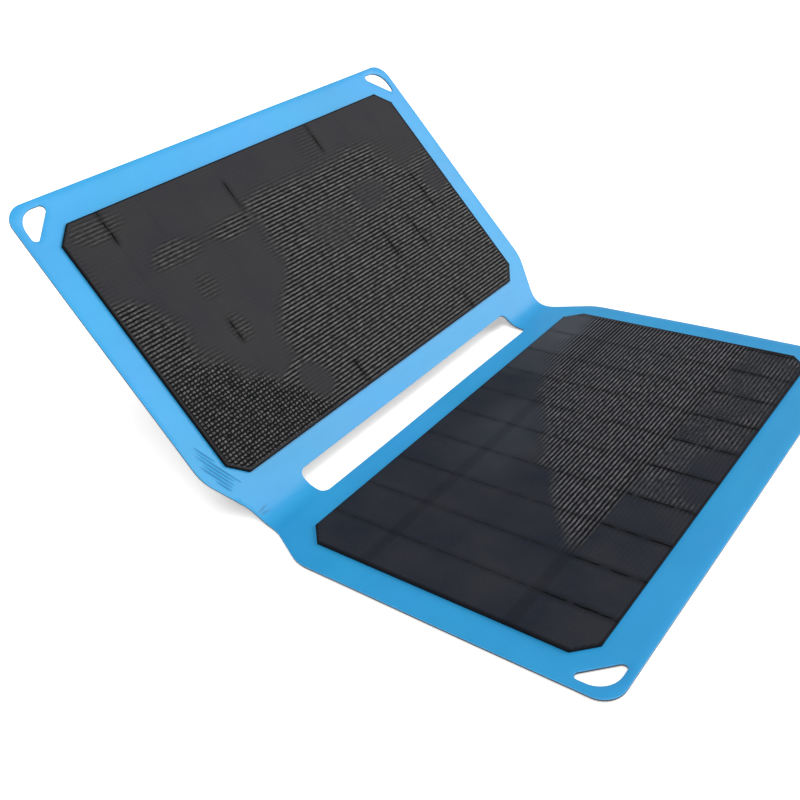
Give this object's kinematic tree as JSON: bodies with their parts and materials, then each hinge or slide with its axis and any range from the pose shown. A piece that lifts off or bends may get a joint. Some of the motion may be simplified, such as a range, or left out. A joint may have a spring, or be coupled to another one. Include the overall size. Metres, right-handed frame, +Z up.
{
  "type": "folding solar charger",
  "caption": "Folding solar charger with a coated fabric rim, laminated cell plates, a slotted fabric hinge, corner hook holes and a rear output box with a port flap.",
  "frame": {"origin": "middle of the flat panel's underside, on the surface that it lies on", "axes": "+Z up, out of the flat panel's front; +Y along the hinge; +X from the hinge to the flat panel's outer edge"},
  "size_m": [0.2677, 0.245, 0.1267],
  "materials": {
    "rim_fabric": "satin coated",
    "back_fabric": "matte woven",
    "backing_board": "matte",
    "silicon_cell": "dark, slightly glossy",
    "tinned_ribbon": "dull tinned",
    "laminate_cover": "embossed, satin",
    "housing_plastic": "fine texture",
    "foam_pad": "matte foam",
    "screw_steel": "plain steel",
    "socket_tin": "tinned",
    "tongue_plastic": "satin",
    "circuit_laminate": "solder mask",
    "ferrite": "matte",
    "capacitor_can": "satin",
    "chip_epoxy": "matte",
    "light_pipe_plastic": "clear",
    "flap_rubber": "matte"
  },
  "bodies": {
    "flat_panel": {"back_sheet_flat": "back_fabric", "front_sheet_flat": "rim_fabric", "backing_board_flat": "backing_board", "cover_film_flat": "laminate_cover", "cell_flat_01": "silicon_cell", "cell_flat_02": "silicon_cell", "cell_flat_03": "silicon_cell", "cell_flat_04": "silicon_cell", "cell_flat_05": "silicon_cell", "cell_flat_06": "silicon_cell", "cell_flat_07": "silicon_cell", "cell_flat_08": "silicon_cell", "cell_flat_09": "silicon_cell", "cell_flat_10": "silicon_cell", "bus_ribbon_flat_1": "tinned_ribbon", "bus_ribbon_flat_2": "tinned_ribbon", "end_ribbon_flat_1": "tinned_ribbon", "end_ribbon_flat_2": "tinned_ribbon", "jumper_strip_flat": "tinned_ribbon"},
    "raised_panel": {"back_sheet_raised": "back_fabric", "front_sheet_raised": "rim_fabric", "backing_board_raised": "backing_board", "cover_film_raised": "laminate_cover", "cell_raised_01": "silicon_cell", "cell_raised_02": "silicon_cell", "cell_raised_03": "silicon_cell", "cell_raised_04": "silicon_cell", "cell_raised_05": "silicon_cell", "cell_raised_06": "silicon_cell", "cell_raised_07": "silicon_cell", "cell_raised_08": "silicon_cell", "cell_raised_09": "silicon_cell", "cell_raised_10": "silicon_cell", "bus_ribbon_raised_1": "tinned_ribbon", "bus_ribbon_raised_2": "tinned_ribbon", "end_ribbon_raised_1": "tinned_ribbon", "end_ribbon_raised_2": "tinned_ribbon", "jumper_strip_raised": "tinned_ribbon", "box_gasket": "foam_pad", "box_base": "housing_plastic", "box_lid": "housing_plastic", "circuit_board": "circuit_laminate", "inductor": "ferrite", "capacitor": "capacitor_can", "controller_chip": "chip_epoxy", "blocking_diode": "chip_epoxy", "light_pipe": "light_pipe_plastic", "lead_strip_1": "tinned_ribbon", "lead_strip_2": "tinned_ribbon", "socket_shell_1": "socket_tin", "socket_shell_2": "socket_tin", "socket_tongue_1": "tongue_plastic", "socket_tongue_2": "tongue_plastic", "lid_screw_1": "screw_steel", "lid_screw_2": "screw_steel", "lid_screw_3": "screw_steel", "lid_screw_4": "screw_steel", "flap_pin": "screw_steel"},
    "flap": {"port_flap": "flap_rubber"}
  },
  "joints": [
    {"name": "fold_hinge", "type": "hinge", "parent": "flat_panel", "child": "raised_panel", "pos_m": [-0.0811, 0, 0.00275], "axis": [0, 1, 0], "range_deg": [-50.4, 129.6]},
    {"name": "flap_hinge", "type": "hinge", "parent": "raised_panel", "child": "flap", "pos_m": [-0.12994, 0, 0.04022], "axis": [0, -1, 0], "range_deg": [0, 150]}
  ]
}
